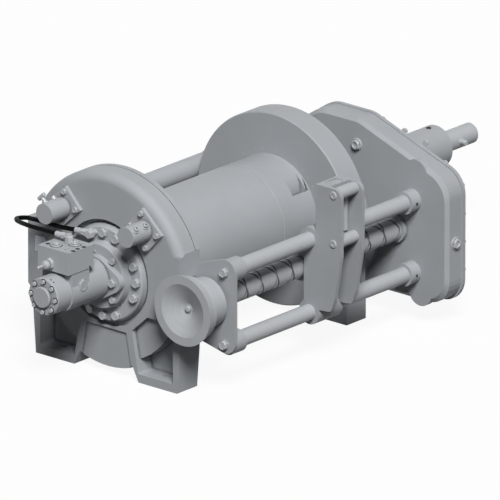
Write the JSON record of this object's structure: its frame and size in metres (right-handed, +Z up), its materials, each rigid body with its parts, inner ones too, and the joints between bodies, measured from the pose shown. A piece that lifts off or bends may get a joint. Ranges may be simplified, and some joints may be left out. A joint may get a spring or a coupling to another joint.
{
  "type": "planetary winch",
  "caption": "Hydraulic planetary winch with a flanged drum on two footed frames, a brake and motor at one end, a chain case at the other and a diamond-screw level wind with a roller fairlead.",
  "frame": {"origin": "middle of the four foundation bolts, on the base plane under the drum axis", "axes": "+X along the drum axis from the motor end to the chain case end, +Z up, -Y towards the level wind side"},
  "size_m": [2.362, 1.106, 0.754],
  "materials": {
    "paint": "satin grey paint over cast and plate steel",
    "motor_paint": "satin light grey paint",
    "bare_steel": "machined",
    "hose": "matte"
  },
  "bodies": {
    "frame": {"motor_end_frame": "paint", "arm_plate": "paint", "brake_flange": "motor_paint", "motor_adapter": "motor_paint", "motor_body": "motor_paint", "port_block": "motor_paint", "motor_end_cap": "motor_paint", "hose_elbow": "bare_steel", "brake_fitting": "bare_steel", "brake_hose": "hose", "left_release_cylinder": "motor_paint", "right_release_cylinder": "motor_paint", "gear_end_frame": "paint", "ring_housing": "paint", "gear_case": "paint", "case_cover": "paint", "shaft_tube": "paint", "rear_tie_tube": "paint", "upper_guide_rod": "bare_steel", "lower_guide_rod": "bare_steel", "upper_arm_collar": "paint", "lower_arm_collar": "paint", "upper_case_collar": "paint", "lower_case_collar": "paint"},
    "drum": {"drum_barrel": "paint", "motor_end_flange": "paint", "gear_end_flange": "paint", "drum_shaft": "bare_steel"},
    "screw": {"diamond_screw": "bare_steel", "hand_disc": "bare_steel"},
    "carriage": {"carriage_body": "paint", "near_fairlead_plate": "paint", "far_fairlead_plate": "paint", "fairlead_head": "paint", "fairlead_sill": "paint"},
    "top_roller_body": {"top_roller": "bare_steel"},
    "lower_roller_body": {"lower_roller": "bare_steel"},
    "near_vertical_roller_body": {"near_vertical_roller": "bare_steel"},
    "far_vertical_roller_body": {"far_vertical_roller": "bare_steel"}
  },
  "joints": [
    {"name": "drum_spin", "type": "hinge", "parent": "frame", "child": "drum", "pos_m": [0, 0, 0.38], "axis": [1, 0, 0], "continuous": true},
    {"name": "screw_spin", "type": "hinge", "parent": "frame", "child": "screw", "pos_m": [0, -0.411, 0.347], "axis": [1, 0, 0], "continuous": true},
    {"name": "carriage_slide", "type": "slide", "parent": "frame", "child": "carriage", "axis": [1, 0, 0], "range_m": [-0.375, 0.255]},
    {"name": "top_roller_spin", "type": "hinge", "parent": "carriage", "child": "top_roller_body", "pos_m": [0.085, -0.599, 0.664], "axis": [1, 0, 0], "continuous": true},
    {"name": "lower_roller_spin", "type": "hinge", "parent": "carriage", "child": "lower_roller_body", "pos_m": [0.085, -0.599, 0.481], "axis": [1, 0, 0], "continuous": true},
    {"name": "near_vertical_roller_spin", "type": "hinge", "parent": "carriage", "child": "near_vertical_roller_body", "pos_m": [0.05, -0.567, 0.57], "axis": [0, 0, 1], "continuous": true},
    {"name": "far_vertical_roller_spin", "type": "hinge", "parent": "carriage", "child": "far_vertical_roller_body", "pos_m": [0.115, -0.567, 0.57], "axis": [0, 0, 1], "continuous": true}
  ],
  "couplings": [
    {"joint": "screw_spin", "follows": "drum_spin", "ratio": 0.33333}
  ]
}
